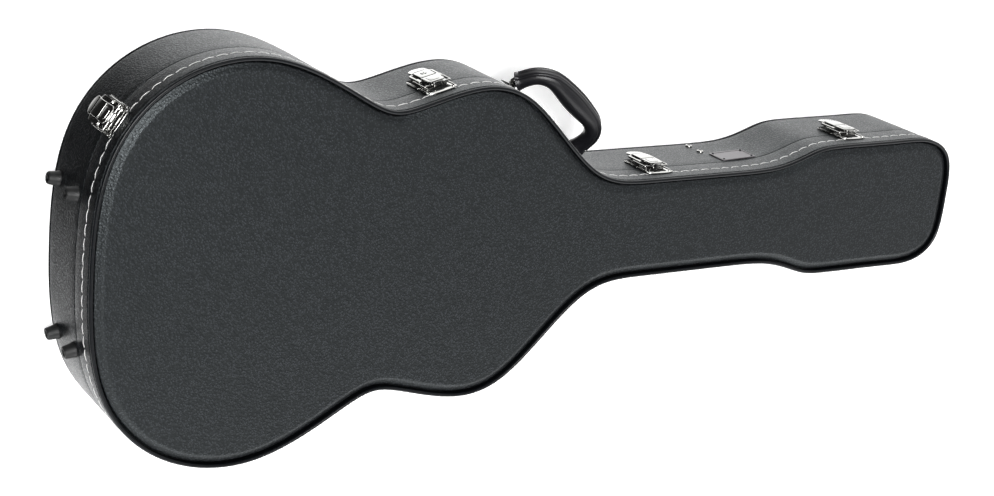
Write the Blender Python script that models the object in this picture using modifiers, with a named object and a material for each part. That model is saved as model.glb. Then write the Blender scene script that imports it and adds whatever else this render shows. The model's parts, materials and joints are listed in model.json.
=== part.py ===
"""Hard-shell guitar case, lying on its back with the lid shut.

+X runs from the butt end to the head end, +Y to the handle side, +Z from the back to the lid.
The origin is the middle of the back panel, on its outer face. Everything is in metres.
"""

import math

import bmesh
import bpy
from mathutils import Matrix, Vector

# Driving dimensions -------------------------------------------------------------------------

LENGTH = 1.080
DEPTH = 0.117
SEAM = 0.077
GAP = 0.0003
SEAM_GAP = 0.0006
FACET_RISE = 0.0014

RIM_WIDTH = 0.0044
RIM_DEPTH = 0.0099
WALL = 0.006
PANEL_SUNK = 0.0004
LINING_INSET = WALL + 2 * GAP
SIDE_PAD = 0.005
LID_SIDE_PAD = 0.003
FLOOR_PAD = 0.007
LID_PAD = 0.0065
LIP_THICKNESS = 0.002
LIP_RISE = 0.009
LIP_FOOT = 0.060

# Half of the case's edge as B-spline control points: distance from the butt end, half width.
HALF_EDGE = (
    (-0.002, 0.000), (0.004, 0.122), (0.073, 0.201), (0.183, 0.221), (0.289, 0.154), (0.318, 0.144),
    (0.392, 0.172), (0.468, 0.171), (0.556, 0.056), (0.624, 0.056), (0.750, 0.056), (0.818, 0.056),
    (0.864, 0.076), (0.890, 0.079), (0.992, 0.078), (1.039, 0.081), (1.081, 0.058), (1.080, 0.000),
)
STEPS_PER_SPAN = 3

# Places along the case, as distances from the butt end.
LATCH_PLACES = (0.031, 0.370, 0.658, 0.933)
HINGE_PLACES = (0.175, 0.425, 1.020)
BRACKET_PLACES = (0.4761, 0.5671)
PLATE_PLACE = 0.785
SCREW_PLACE = 0.757
CRADLE_PLACE = 0.600
STORE_END_PLACE = 0.780

LATCH_WIDTH = 0.034
HINGE_LENGTH = 0.040
FOOT_LINES = (0.073, -0.085)
FOOT_HEIGHTS = (0.0165, 0.0665)
SCREW_HEIGHTS = (0.0140, 0.0360)
HANDLE_HEIGHT = 0.048
HANDLE_LEAN = math.radians(38)


# Plan of the case -----------------------------------------------------------------------------

def spline_spans():
    """The closed edge's control points, four at a time, for each span of the B-spline."""
    points = [Vector((x - LENGTH / 2, y)) for x, y in HALF_EDGE]
    points += [Vector((p.x, -p.y)) for p in reversed(points[1:-1])]
    count = len(points)
    return [[points[(i + k) % count] for k in range(-1, 3)] for i in range(count)]


def edge_station(span, t):
    """Place and outward normal on the edge, at fraction t of one span."""
    a, b, c, d = span
    place = (a * (1 - t) ** 3 + b * (3 * t**3 - 6 * t * t + 4)
             + c * (-3 * t**3 + 3 * t * t + 3 * t + 1) + d * t**3) / 6
    along = (-a * (1 - t) ** 2 + b * (3 * t * t - 4 * t) + c * (-3 * t * t + 2 * t + 1) + d * t * t) / 2
    along.normalize()
    return place, Vector((-along.y, along.x))


def outline(inset, steps=STEPS_PER_SPAN):
    """Points right round the case's edge, moved inwards by inset."""
    stations = [edge_station(span, k / steps) for span in spline_spans() for k in range(steps)]
    return [place - normal * inset for place, normal in stations]


def wall_frame(place_along, half_width):
    """Axes on the handle-side wall at a distance from the butt end: X along it, Y outwards, Z up.

    The frame's X-Z plane touches the outermost point of the wall within half_width of the place.
    """
    x_wanted = place_along - LENGTH / 2
    stations = [edge_station(span, k / 40) for span in spline_spans() for k in range(40)]
    near_side = [s for s in stations if s[0].y > 0]
    place, normal = min(near_side, key=lambda s: abs(s[0].x - x_wanted))
    nearby = [p - place for p, _ in near_side if (p - place).length < half_width]
    proud = max(offset.dot(normal) for offset in nearby)
    return frame_at(place + normal * proud, normal)


def frame_at(place, normal):
    """Matrix whose Y axis is the outward normal, and whose Z axis is up."""
    along = Vector((normal.y, -normal.x, 0))
    axes = Matrix((along, (normal.x, normal.y, 0), (0, 0, 1))).transposed().to_4x4()
    axes.translation = (place.x, place.y, 0)
    return axes


def hinge_line():
    """Two points on the straight edge that touches the lower bout and the head, away from the handle."""
    far_side = [p for p in outline(0, 40) if p.y < 0]
    tail = [p for p in far_side if p.x < -0.2]
    head = [p for p in far_side if p.x > 0.4]
    start, end = tail[0], head[0]
    for _ in range(4):
        start = min(tail, key=lambda p: slope_side(p, end))
        end = min(head, key=lambda p: slope_side(p, start))
    return start, end


def slope_side(point, other):
    """Steepness of the line between two points, least for the one that all others lie above."""
    return (point.y - other.y) / abs(point.x - other.x)


# Solids ---------------------------------------------------------------------------------------

def evaluated_mesh(guide, name):
    """A plain mesh of what an object looks like with its modifiers; the object is removed."""
    view = bpy.context.evaluated_depsgraph_get()
    mesh = bpy.data.meshes.new_from_object(guide.evaluated_get(view))
    mesh.name = name
    mesh.transform(guide.matrix_world)
    bpy.data.objects.remove(guide)
    work = bmesh.new()
    work.from_mesh(mesh)
    bmesh.ops.remove_doubles(work, verts=work.verts, dist=0.00001)
    work.to_mesh(mesh)
    work.free()
    return mesh


def flat_solid(name, loops, low, high, edge=0.0):
    """Solid between two heights whose plan lies between closed loops, its edges chamfered by edge."""
    curve = bpy.data.curves.new(name, "CURVE")
    curve.dimensions = "2D"
    curve.fill_mode = "BOTH"
    curve.extrude = (high - low) / 2 - edge
    curve.bevel_depth = edge
    curve.bevel_resolution = 0
    for loop in loops:
        spline = curve.splines.new("POLY")
        spline.points.add(len(loop) - 1)
        for point, place in zip(spline.points, loop):
            point.co = (place[0], place[1], 0, 1)
        spline.use_cyclic_u = True
    guide = bpy.data.objects.new(name, curve)
    bpy.context.scene.collection.objects.link(guide)
    guide.location.z = (low + high) / 2
    bpy.context.view_layer.update()
    return evaluated_mesh(guide, name)


def ring(name, outer, inner, low, high, edge=0.0):
    """Band of the case's plan between two insets from its edge."""
    return flat_solid(name, [outline(outer + edge), outline(inner - edge)], low, high, edge)


def plate(name, inset, low, high, edge=0.0):
    """Plate of the case's plan, inset from its edge."""
    return flat_solid(name, [outline(inset + edge)], low, high, edge)


def box(name, low, high):
    """Box between two opposite corners."""
    low, high = Vector(low), Vector(high)
    size = Matrix.Diagonal((*(high - low), 1))
    mesh = bpy.data.meshes.new(name)
    work = bmesh.new()
    bmesh.ops.create_cube(work, size=1, matrix=Matrix.Translation((low + high) / 2) @ size)
    work.to_mesh(mesh)
    work.free()
    return mesh


def rod(name, start, end, radius, sides=16, end_radius=None):
    """Round bar between two points, straight or tapered."""
    start, end = Vector(start), Vector(end)
    turn = (end - start).to_track_quat("Z", "Y").to_matrix().to_4x4()
    mesh = bpy.data.meshes.new(name)
    work = bmesh.new()
    bmesh.ops.create_cone(work, cap_ends=True, segments=sides, radius1=radius,
                          radius2=end_radius if end_radius else radius, depth=(end - start).length,
                          matrix=Matrix.Translation((start + end) / 2) @ turn)
    work.to_mesh(mesh)
    work.free()
    return mesh


def upright(name, points, back, front, edge=0.0):
    """Flat solid whose outline is drawn along X and Z, from depth back to depth front along Y."""
    mesh = flat_solid(name, [points], -front, -back, edge)
    mesh.transform(Matrix.Rotation(math.radians(90), 4, "X"))
    return mesh


def wire(name, points, radius, closed=False, sides=2):
    """Bent wire along straight runs between points."""
    curve = bpy.data.curves.new(name, "CURVE")
    curve.dimensions = "3D"
    curve.bevel_depth = radius
    curve.bevel_resolution = sides
    curve.use_fill_caps = True
    spline = curve.splines.new("POLY")
    spline.points.add(len(points) - 1)
    for point, place in zip(spline.points, points):
        point.co = (*place, 1)
    spline.use_cyclic_u = closed
    guide = bpy.data.objects.new(name, curve)
    bpy.context.scene.collection.objects.link(guide)
    bpy.context.view_layer.update()
    return evaluated_mesh(guide, name)


def combine(name, base, added=(), cut=()):
    """One mesh from a base with other meshes joined to it and others cut from it."""
    target = bpy.data.objects.new(name, base)
    bpy.context.scene.collection.objects.link(target)
    helpers = []
    for meshes, operation in ((added, "UNION"), (cut, "DIFFERENCE")):
        for mesh in meshes:
            helper = bpy.data.objects.new(mesh.name, mesh)
            cutters.objects.link(helper)
            helper.hide_render = True
            helper.display_type = "WIRE"
            modifier = target.modifiers.new(operation.lower(), "BOOLEAN")
            modifier.operation = operation
            modifier.object = helper
            helpers.append(helper)
    bpy.context.view_layer.update()
    mesh = evaluated_mesh(target, name)
    for helper in helpers:
        bpy.data.objects.remove(helper)
    return mesh


def add_piece(name, mesh, material, frame=Matrix(), pivot=(0, 0, 0)):
    """Object for one sub-part, its origin at pivot, both given in the frame's own axes."""
    pivot = Vector(pivot)
    if pivot.length > 0:
        mesh = mesh.copy()
        mesh.transform(Matrix.Translation(-pivot))
    mesh.materials.clear()
    mesh.materials.append(material)
    piece = bpy.data.objects.new(name, mesh)
    case.objects.link(piece)
    piece.matrix_world = frame @ Matrix.Translation(pivot)
    return piece


def make_material(name, color, roughness, metallic=0.0):
    material = bpy.data.materials.new(name)
    material.use_nodes = True
    shader = material.node_tree.nodes["Principled BSDF"]
    shader.inputs["Base Color"].default_value = (*color, 1)
    shader.inputs["Roughness"].default_value = roughness
    shader.inputs["Metallic"].default_value = metallic
    return material


# Shell ----------------------------------------------------------------------------------------

def add_shell():
    """Body and lid: panels in their rims, bent walls, and the lip that guides the lid."""
    panel_inset = RIM_WIDTH + GAP
    add_piece("back_rim", ring("back_rim", 0, RIM_WIDTH, 0, RIM_DEPTH, 0.001), vinyl)
    add_piece("back_panel", plate("back_panel", panel_inset, 0, RIM_DEPTH - GAP), vinyl)
    add_piece("body_wall", ring("body_wall", 0, WALL, RIM_DEPTH + GAP, SEAM - SEAM_GAP / 2), vinyl)

    lid_low = SEAM + SEAM_GAP / 2
    rim_low = DEPTH - RIM_DEPTH
    add_piece("lid_wall", ring("lid_wall", 0, WALL, lid_low, rim_low - GAP), vinyl)
    add_piece("lid_rim", ring("lid_rim", 0, RIM_WIDTH, rim_low, DEPTH, 0.001), vinyl)
    add_piece("lid_panel", plate("lid_panel", panel_inset, rim_low, DEPTH - PANEL_SUNK, 0.002), vinyl)

    lip_inner = LINING_INSET + LIP_THICKNESS
    add_piece("dust_lip", ring("dust_lip", LINING_INSET, lip_inner, LIP_FOOT, SEAM + LIP_RISE), trim)


def add_linings():
    """Plush-covered foam in the body and in the lid."""
    floor = RIM_DEPTH + GAP
    floor_top = floor + FLOOR_PAD
    pad_inner = LINING_INSET + SIDE_PAD
    add_piece("body_floor_pad", plate("body_floor_pad", LINING_INSET, floor, floor_top), plush)
    body_side = ring("body_side_pad", LINING_INSET, pad_inner, floor_top + GAP, LIP_FOOT - GAP)
    add_piece("body_side_pad", body_side, plush)

    ceiling = DEPTH - RIM_DEPTH - GAP
    ceiling_low = ceiling - LID_PAD
    lid_inner = LINING_INSET + LID_SIDE_PAD
    add_piece("lid_top_pad", plate("lid_top_pad", LINING_INSET, ceiling_low, ceiling), plush)
    lid_side = ring("lid_side_pad", LINING_INSET, lid_inner, SEAM + LIP_RISE + 0.001, ceiling_low - GAP)
    add_piece("lid_side_pad", lid_side, plush)


# Latches --------------------------------------------------------------------------------------

LATCH_PIVOT = (0.0, 0.0055, SEAM - 0.0045)
BAIL_PIVOT = (0.0, 0.0055, SEAM - 0.0125)
SHEET = 0.0012
EAR_OUTER = 0.0121
EAR_INNER = 0.0109
CHEEK_INNER = 0.0124
CHEEK_OUTER = 0.0138
BAIL_SPREAD = 0.0152
BAIL_RADIUS = 0.0011
LEDGE_TOP = SEAM + 0.0090
FACE_LOW = 0.0076
FACE_HIGH = 0.0090
COVER_HALF = 0.0094
COVER_LOW = SEAM - 0.0068
COVER_GAP = 0.0012


def latch_base():
    """Plate on the body wall with two ears, and a stub on each ear that the lever turns on."""
    _, out, height = LATCH_PIVOT
    half = LATCH_WIDTH / 2
    outline_points = [(-half, SEAM - 0.001), (half, SEAM - 0.001), (half, SEAM - 0.0255),
                      (half - 0.004, SEAM - 0.0295), (-half + 0.004, SEAM - 0.0295), (-half, SEAM - 0.0255)]
    base = upright("latch_base", outline_points, GAP, GAP + SHEET)
    added = []
    for side in (-1, 1):
        inner, outer, stub = side * EAR_INNER, side * EAR_OUTER, side * (CHEEK_OUTER - 0.0002)
        low_x, high_x = min(inner, outer), max(inner, outer)
        added.append(box("ear", (low_x, GAP + SHEET / 2, height - 0.004), (high_x, out, height + 0.001)))
        added.append(rod("ear_end", (inner, out, height), (outer, out, height), 0.0019))
        added.append(rod("stub", ((inner + outer) / 2, out, height), (stub, out, height), 0.0013, 12))
    return combine("latch_base", base, added)


def latch_lever():
    """Pressed lever: a flat face with a rounded thumb tab, notched for the bail, and two drilled cheeks."""
    _, out, height = LATCH_PIVOT
    shoulder = SEAM - 0.0250
    tab_half = 0.0110
    tab = [(tab_half * math.cos(math.radians(a)), shoulder - 0.0015 - 0.0115 * math.sin(math.radians(a)))
           for a in range(0, 181, 15)]
    notch = COVER_HALF + 2 * GAP
    top = SEAM - 0.002
    half = [(CHEEK_OUTER, shoulder), (CHEEK_OUTER, top), (notch, top), (notch, COVER_LOW - COVER_GAP)]
    face = upright("latch_lever", [(-x, z) for x, z in half] + half[::-1] + tab, FACE_LOW, FACE_HIGH)
    added, cut = [], []
    for side in (-1, 1):
        low_x = min(side * CHEEK_INNER, side * CHEEK_OUTER)
        high_x = max(side * CHEEK_INNER, side * CHEEK_OUTER)
        added.append(box("cheek", (low_x, out - 0.0025, height - 0.0145), (high_x, FACE_HIGH - 0.0005,
                                                                            height + 0.0022)))
        for pivot, radius in ((LATCH_PIVOT, 0.0016), (BAIL_PIVOT, 0.0014)):
            start = (side * (CHEEK_INNER - 0.001), pivot[1], pivot[2])
            end = (side * (CHEEK_OUTER + 0.001), pivot[1], pivot[2])
            cut.append(rod("hole", start, end, radius, 12))
    return combine("latch_lever", face, added, cut)


def latch_bail():
    """Wire loop that hangs on the lever and hooks over the keeper's ledge, under a pressed cover."""
    _, out, height = BAIL_PIVOT
    top = LEDGE_TOP + GAP + BAIL_RADIUS
    end = CHEEK_INNER + 0.0002
    half = [(end, out, height), (BAIL_SPREAD, out, height), (BAIL_SPREAD, out, top)]
    loop = wire("latch_bail", [(-x, y, z) for x, y, z in half] + half[::-1], BAIL_RADIUS)
    low, high = LEDGE_TOP + 2 * GAP, top + BAIL_RADIUS
    cover = box("cover", (-COVER_HALF, FACE_LOW + 0.0002, COVER_LOW), (COVER_HALF, FACE_HIGH, high))
    front = box("front", (-COVER_HALF + 0.0002, out - 0.0004, low),
                (COVER_HALF - 0.0002, FACE_LOW + 0.0006, high - 0.0002))
    return combine("latch_bail", loop, [cover, front])


def latch_keeper():
    """Plate on the lid wall, arched at its outer end, with the ledge that the bail pulls on."""
    half = LATCH_WIDTH / 2
    low, shoulder = SEAM + 0.001, SEAM + 0.0200
    arch = [(half * math.cos(math.radians(a)), shoulder + 0.0035 * math.sin(math.radians(a)))
            for a in range(15, 166, 15)]
    base = upright("latch_keeper", [(-half, low), (half, low), (half, shoulder)] + arch
                   + [(-half, shoulder)], GAP, GAP + SHEET)
    ledge = box("ledge", (-0.012, GAP + SHEET / 2, LEDGE_TOP - 0.0025), (0.012, 0.0062, LEDGE_TOP))
    return combine("latch_keeper", base, [ledge])


def add_latches():
    base, lever, bail, keeper = latch_base(), latch_lever(), latch_bail(), latch_keeper()
    for number, place in enumerate(LATCH_PLACES, start=1):
        frame = wall_frame(place, LATCH_WIDTH / 2 + 0.001)
        add_piece(f"latch_{number}_base", base, chrome, frame)
        add_piece(f"latch_{number}_keeper", keeper, chrome, frame)
        add_piece(f"latch_{number}_lever", lever, chrome, frame, LATCH_PIVOT)
        add_piece(f"latch_{number}_bail", bail, chrome, frame, BAIL_PIVOT)


# Hinges ---------------------------------------------------------------------------------------

BARREL_OUT = 0.004
BARREL_RADIUS = 0.0028
PIN_RADIUS = 0.0015
PIN_HOLE = 0.0018
KNUCKLE_HALF = 0.0069


def hinge_leaf(name, knuckles, low, high, web_low, web_high):
    """Plate from low to high, with a web to each knuckle and a hole along the knuckles."""
    half = HINGE_LENGTH / 2
    base = box(name, (-half, GAP, low), (half, GAP + SHEET, high))
    added = []
    for start, end in knuckles:
        added.append(box("web", (start, GAP + 0.0001, web_low), (end, BARREL_OUT, web_high)))
        added.append(rod("knuckle", (start, BARREL_OUT, SEAM), (end, BARREL_OUT, SEAM), BARREL_RADIUS))
    hole = rod("hole", (-half - 0.001, BARREL_OUT, SEAM), (half + 0.001, BARREL_OUT, SEAM), PIN_HOLE, 12)
    return combine(name, base, added, [hole])


def add_hinges():
    start, end = hinge_line()
    along = (end - start).normalized()
    outward = Vector((along.y, -along.x))
    half = HINGE_LENGTH / 2
    pivot = (0, BARREL_OUT, SEAM)
    middle = [(-KNUCKLE_HALF, KNUCKLE_HALF)]
    sides = [(-half, -KNUCKLE_HALF - GAP), (KNUCKLE_HALF + GAP, half)]
    body_leaf = hinge_leaf("hinge_body_leaf", middle, SEAM - 0.022, SEAM - 0.0032, SEAM - 0.006, SEAM)
    lid_leaf = hinge_leaf("hinge_lid_leaf", sides, SEAM + 0.0032, SEAM + 0.022, SEAM, SEAM + 0.006)
    pin_start = (-half - 0.0005, BARREL_OUT, SEAM)
    pin_end = (half + 0.0005, BARREL_OUT, SEAM)
    pin = rod("hinge_pin", pin_start, pin_end, PIN_RADIUS, 12)
    for number, place in enumerate(HINGE_PLACES, start=1):
        reach = (place - LENGTH / 2 - start.x) / along.x
        frame = frame_at(start + along * reach, outward)
        add_piece(f"hinge_{number}_body_leaf", body_leaf, chrome, frame, pivot)
        add_piece(f"hinge_{number}_lid_leaf", lid_leaf, chrome, frame, pivot)
        add_piece(f"hinge_{number}_pin", pin, chrome, frame, pivot)


# Handle ---------------------------------------------------------------------------------------

EYE_OUT = 0.0058
EYE_RADIUS = 0.0032
EYE_HOLE = 0.0018
EYE_HALF = 0.0036
RING_RADIUS = 0.0013
RING_PLAY = 0.0004
RING_HALF = 0.0054
RING_RISE = 0.0100
BRACKET_SPREAD = 0.0578
BRACKET_HALF = 0.0095
BRACKET_HALF_HEIGHT = 0.0085
# Half of the grip's centre line: distance from the middle, height over the axis, radius.
GRIP_LINE = (
    (0.000, 0.0383, 0.0129), (0.022, 0.0383, 0.0109), (0.0377, 0.0378, 0.0094), (0.0524, 0.0275, 0.0085),
    (0.0558, 0.0120, 0.0085), (0.0567, 0.0080, 0.0091), (0.0578, 0.0045, 0.0108),
)


def ring_path():
    """Corners of a ring, from the bracket's eye to the inside of the grip."""
    half = [(RING_HALF, 0, 0), (RING_HALF, RING_RISE, 0)]
    return half + [(-x, y, z) for x, y, z in half[::-1]]


def grip_mesh():
    """Moulded grip: a round bar bent to a D, thick in the middle, hollowed at each end for its ring."""
    curve = bpy.data.curves.new("handle_grip", "CURVE")
    curve.dimensions = "3D"
    curve.bevel_depth = 1.0
    curve.bevel_resolution = 3
    curve.use_fill_caps = True
    curve.resolution_u = 2
    line = [(-x, rise, radius) for x, rise, radius in GRIP_LINE[:0:-1]] + list(GRIP_LINE)
    spline = curve.splines.new("NURBS")
    spline.points.add(len(line) - 1)
    for point, (x, rise, radius) in zip(spline.points, line):
        point.co = (x, rise, 0, 1)
        point.radius = radius
    spline.order_u = 4
    spline.use_endpoint_u = True
    guide = bpy.data.objects.new("handle_grip", curve)
    bpy.context.scene.collection.objects.link(guide)
    bpy.context.view_layer.update()
    bar = evaluated_mesh(guide, "handle_grip")
    holes = []
    for side in (-1, 1):
        sleeve = wire("hole", ring_path(), RING_RADIUS + RING_PLAY, closed=True)
        sleeve.transform(Matrix.Translation((side * BRACKET_SPREAD, 0, 0)))
        holes.append(sleeve)
    return combine("handle_grip", bar, (), holes)


def bracket_mesh():
    """Plate on the wall with a post that ends in an eye along X."""
    half, rise = BRACKET_HALF, BRACKET_HALF_HEIGHT
    corners = [(-half, -rise), (half, -rise), (half, rise), (-half, rise)]
    base = upright("handle_bracket", corners, -EYE_OUT, -EYE_OUT + 0.0015)
    post_half = EYE_HALF - 0.0004
    post = box("post", (-post_half, -EYE_OUT + 0.0007, -0.0025), (post_half, 0, 0.0025))
    eye = rod("eye", (-EYE_HALF, 0, 0), (EYE_HALF, 0, 0), EYE_RADIUS)
    hole = rod("hole", (-0.02, 0, 0), (0.02, 0, 0), EYE_HOLE, 12)
    return combine("handle_bracket", base, [post, eye], [hole])


def add_handle():
    """Grip on two wire rings that swing in two brackets, along one axis."""
    ends = [wall_frame(place, 0.001).translation.to_2d() for place in BRACKET_PLACES]
    middle = (ends[0] + ends[1]) / 2
    along = (ends[1] - ends[0]).normalized()
    outward = Vector((-along.y, along.x))
    reach = BRACKET_SPREAD + BRACKET_HALF
    beside = [p - middle for p in outline(0, 40) if abs((p - middle).dot(along)) < reach and p.y > 0]
    proud = max(p.dot(outward) for p in beside if abs(p.dot(along)) > BRACKET_SPREAD - BRACKET_HALF)
    axes = frame_at(middle + outward * (proud + FACET_RISE + GAP + EYE_OUT), outward)
    axes.translation.z = HANDLE_HEIGHT
    lean = axes @ Matrix.Rotation(HANDLE_LEAN, 4, "X")
    add_piece("handle_grip", grip_mesh(), moulding, lean)
    ring_wire = wire("handle_ring", ring_path(), RING_RADIUS, closed=True)
    bracket = bracket_mesh()
    for number, side in ((1, -1), (2, 1)):
        shift = Matrix.Translation((side * BRACKET_SPREAD, 0, 0))
        add_piece(f"handle_ring_{number}", ring_wire, chrome, lean @ shift)
        add_piece(f"handle_bracket_{number}", bracket, chrome, axes @ shift)


# Feet, plate and screws -----------------------------------------------------------------------

def foot_mesh():
    """Rubber bumper turned about Y: a tapered post with a countersunk screw hole in its end."""
    length = 0.012
    profile = [(0.0, GAP), (0.0078, GAP), (0.0078, 0.0016), (0.0072, 0.0028), (0.0063, length - 0.0012),
               (0.0052, length), (0.0030, length), (0.0030, length - 0.005), (0.0, length - 0.005)]
    mesh = bpy.data.meshes.new("foot")
    mesh.from_pydata([(radius, 0, out) for radius, out in profile[::-1]],
                     [(i, i + 1) for i in range(len(profile) - 1)], [])
    guide = bpy.data.objects.new("foot", mesh)
    bpy.context.scene.collection.objects.link(guide)
    turn = guide.modifiers.new("turn", "SCREW")
    turn.steps = 12
    turn.render_steps = 12
    turn.use_merge_vertices = True
    turn.merge_threshold = 0.00001
    bpy.context.view_layer.update()
    solid = evaluated_mesh(guide, "foot")
    solid.transform(Matrix.Rotation(math.radians(-90), 4, "X"))
    return solid


def add_small_parts():
    foot = foot_mesh()
    stations = [edge_station(span, k / 40) for span in spline_spans() for k in range(40)]
    number = 0
    butt = [station for station in stations if station[0].x < 0]
    for line in FOOT_LINES:
        place, normal = min(butt, key=lambda station: abs(station[0].y - line))
        for height in FOOT_HEIGHTS:
            number += 1
            frame = frame_at(place, normal) @ Matrix.Translation((0, 0, height))
            add_piece(f"foot_{number}", foot, rubber, frame)

    plate_frame = wall_frame(PLATE_PLACE, 0.024) @ Matrix.Translation((0, 0, 0.0605))
    name_plate = upright("blank_plate", [(-0.0235, -0.0145), (0.0235, -0.0145), (0.0235, 0.0145),
                                         (-0.0235, 0.0145)], GAP, GAP + 0.0016, 0.0004)
    add_piece("blank_plate", name_plate, dark_metal, plate_frame)

    head = combine("wall_screw", rod("wall_screw", (0, GAP, 0), (0, 0.0016, 0), 0.0042, 16),
                   [rod("dome", (0, 0.0012, 0), (0, 0.0028, 0), 0.0040, 16, 0.0024)])
    for number, height in enumerate(SCREW_HEIGHTS, start=1):
        frame = wall_frame(SCREW_PLACE, 0.006) @ Matrix.Translation((0, 0, height))
        add_piece(f"wall_screw_{number}", head, chrome, frame)


# Inside of the body ---------------------------------------------------------------------------

def add_fittings():
    """Cradle under the guitar's neck, and the accessory compartment beyond it."""
    floor = RIM_DEPTH + GAP + FLOOR_PAD + GAP
    half = 0.0435
    near = CRADLE_PLACE - LENGTH / 2
    far = STORE_END_PLACE - LENGTH / 2
    cradle_length, cradle_top, notch_half, notch_floor = 0.025, 0.066, 0.029, 0.045
    end_thickness, store_top, lid_thickness = 0.006, 0.046, 0.004

    cradle = [(-half, floor), (half, floor), (half, cradle_top), (notch_half, cradle_top),
              (notch_half - 0.004, notch_floor), (-notch_half + 0.004, notch_floor),
              (-notch_half, cradle_top), (-half, cradle_top)]
    across = Matrix.Rotation(math.radians(90), 4, "Z")
    block = upright("neck_cradle", cradle, 0, cradle_length)
    block.transform(Matrix.Translation((near + cradle_length, 0, 0)) @ across)
    add_piece("neck_cradle", block, plush)

    end_wall = box("store_end_wall", (far, -half, floor), (far + end_thickness, half, store_top))
    add_piece("store_end_wall", end_wall, plush)

    lid_low = store_top + GAP
    lid_high = lid_low + lid_thickness
    start = near + cradle_length + 0.0005
    hinge = (start, -half, lid_high)
    store_lid = box("store_lid", (start, -half, lid_low), (far + end_thickness, half, lid_high))
    add_piece("store_lid", store_lid, plush, pivot=hinge)
    middle = (start + far) / 2
    tab = box("store_lid_tab", (middle - 0.007, half - 0.022, lid_high + GAP),
              (middle + 0.007, half - 0.002, lid_high + GAP + 0.0015))
    add_piece("store_lid_tab", tab, trim, pivot=hinge)


for leftover in list(bpy.data.objects):
    bpy.data.objects.remove(leftover)

case = bpy.data.collections.new("guitar_case")
cutters = bpy.data.collections.new("cutters")
bpy.context.scene.collection.children.link(case)
bpy.context.scene.collection.children.link(cutters)

vinyl = make_material("black_vinyl", (0.030, 0.032, 0.034), 0.55)
trim = make_material("black_trim", (0.020, 0.020, 0.021), 0.60)
plush = make_material("black_plush", (0.022, 0.022, 0.025), 0.95)
moulding = make_material("black_moulding", (0.022, 0.022, 0.026), 0.38)
rubber = make_material("black_rubber", (0.018, 0.018, 0.018), 0.70)
chrome = make_material("chrome", (0.80, 0.79, 0.76), 0.12, 1.0)
dark_metal = make_material("dark_metal", (0.30, 0.31, 0.32), 0.35, 1.0)

add_shell()
add_linings()
add_latches()
add_hinges()
add_handle()
add_small_parts()
add_fittings()
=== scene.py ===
"""Looks of the hard-shell guitar case: vinyl, piping, stitching, plush, chrome fittings and moulded grip."""

import json
import math

import bmesh
import bpy
from mathutils import Matrix, Vector


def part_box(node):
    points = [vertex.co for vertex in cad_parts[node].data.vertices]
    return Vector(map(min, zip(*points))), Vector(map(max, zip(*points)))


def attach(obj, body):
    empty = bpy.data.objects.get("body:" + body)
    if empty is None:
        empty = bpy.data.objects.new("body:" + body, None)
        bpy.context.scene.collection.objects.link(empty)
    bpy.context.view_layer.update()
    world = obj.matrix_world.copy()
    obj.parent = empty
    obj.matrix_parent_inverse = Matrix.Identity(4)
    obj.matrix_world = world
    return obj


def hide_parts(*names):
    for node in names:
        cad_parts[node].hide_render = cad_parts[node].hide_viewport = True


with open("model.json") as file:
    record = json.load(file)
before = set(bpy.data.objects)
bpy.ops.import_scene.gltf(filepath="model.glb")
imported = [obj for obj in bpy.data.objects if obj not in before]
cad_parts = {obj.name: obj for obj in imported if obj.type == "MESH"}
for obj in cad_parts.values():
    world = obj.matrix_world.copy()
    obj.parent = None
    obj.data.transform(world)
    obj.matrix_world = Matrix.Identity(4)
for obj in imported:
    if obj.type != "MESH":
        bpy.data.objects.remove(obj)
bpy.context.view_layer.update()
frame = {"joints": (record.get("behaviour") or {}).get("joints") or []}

# Sizes that follow the CAD model ----------------------------------------------

LENGTH = 1.080
# Half of the case's edge as B-spline control points: distance from the butt end, half width.
HALF_EDGE = (
    (-0.002, 0.000), (0.004, 0.122), (0.073, 0.201), (0.183, 0.221), (0.289, 0.154), (0.318, 0.144),
    (0.392, 0.172), (0.468, 0.171), (0.556, 0.056), (0.624, 0.056), (0.750, 0.056), (0.818, 0.056),
    (0.864, 0.076), (0.890, 0.079), (0.992, 0.078), (1.039, 0.081), (1.081, 0.058), (1.080, 0.000),
)
STEPS_PER_SPAN = 12

BODY_LOW, BODY_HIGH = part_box("body_wall")[0].z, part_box("body_wall")[1].z
LID_LOW, LID_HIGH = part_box("lid_wall")[0].z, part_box("lid_wall")[1].z
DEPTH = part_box("lid_rim")[1].z
SEAM = (BODY_HIGH + LID_LOW) / 2
WALL = 0.006
SEAM_ROUND = 0.0007
PIPING_RADIUS = 0.0019
PIPING_INSET = 0.0020
PANEL_INSET = 0.0056
CHAMFER_INSET = 0.0140
PANEL_SUNK = 0.0006
CHAMFER_DROP = 0.0034
GROOVE_DEPTH = 0.0052

STITCH_PITCH = 0.0140
STITCH_LENGTH = 0.0122
STITCH_HEIGHT = 0.0985
STITCH_RISE = 0.0019
THREAD_RADIUS = 0.00050

JOINTS = {joint["name"]: joint for joint in frame["joints"]}


# Materials --------------------------------------------------------------------

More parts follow.
